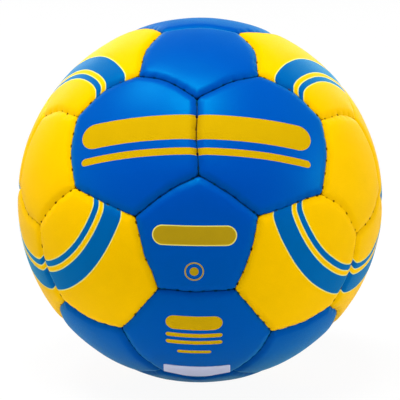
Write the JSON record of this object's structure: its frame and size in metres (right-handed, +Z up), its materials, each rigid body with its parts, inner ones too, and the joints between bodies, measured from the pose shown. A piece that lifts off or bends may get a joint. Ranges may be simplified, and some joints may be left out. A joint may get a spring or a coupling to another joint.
{
  "type": "handball",
  "caption": "Hand-sewn handball of hexagon and pentagon cover panels in blue and yellow over foam, cloth linings and a bladder, with an inflation valve.",
  "frame": {"origin": "centre of the ball", "axes": "-Y through the middle of the front pentagon, +Y out of the valve, +Z up"},
  "size_m": [0.1878, 0.1878, 0.188],
  "materials": {
    "blue_cover": "semi-gloss fine-grained synthetic leather",
    "yellow_cover": "semi-gloss fine-grained synthetic leather",
    "foam": "closed-cell foam",
    "lining_cloth": "woven cotton and polyester",
    "thread": "dark waxed polyester",
    "bladder_rubber": "matte latex",
    "valve_rubber": "moulded butyl rubber",
    "core_rubber": "moulded silicone rubber"
  },
  "bodies": {
    "root": {"hexagon_linings": "lining_cloth", "pentagon_linings": "lining_cloth", "hexagon_foam_pads": "foam", "pentagon_foam_pads": "foam", "hexagon_seam_threads": "thread", "pentagon_seam_threads": "thread", "bladder": "bladder_rubber", "valve_ring": "lining_cloth", "valve_housing": "valve_rubber", "valve_core": "core_rubber", "front_hexagon_1": "blue_cover", "front_hexagon_2": "yellow_cover", "front_hexagon_3": "blue_cover", "front_hexagon_4": "yellow_cover", "front_hexagon_5": "blue_cover", "front_belt_hexagon_1": "yellow_cover", "front_belt_hexagon_2": "yellow_cover", "front_belt_hexagon_3": "blue_cover", "front_belt_hexagon_4": "yellow_cover", "front_belt_hexagon_5": "yellow_cover", "back_belt_hexagon_1": "blue_cover", "back_belt_hexagon_2": "yellow_cover", "back_belt_hexagon_3": "yellow_cover", "back_belt_hexagon_4": "yellow_cover", "back_belt_hexagon_5": "yellow_cover", "back_hexagon_1": "yellow_cover", "back_hexagon_2": "blue_cover", "back_hexagon_3": "blue_cover", "back_hexagon_4": "yellow_cover", "back_hexagon_5": "blue_cover", "front_pentagon": "blue_cover", "front_ring_pentagon_1": "blue_cover", "front_ring_pentagon_2": "yellow_cover", "front_ring_pentagon_3": "blue_cover", "front_ring_pentagon_4": "blue_cover", "front_ring_pentagon_5": "yellow_cover", "back_ring_pentagon_1": "blue_cover", "back_ring_pentagon_2": "yellow_cover", "back_ring_pentagon_3": "blue_cover", "back_ring_pentagon_4": "yellow_cover", "back_ring_pentagon_5": "blue_cover", "valve_pentagon": "blue_cover"}
  },
  "joints": []
}
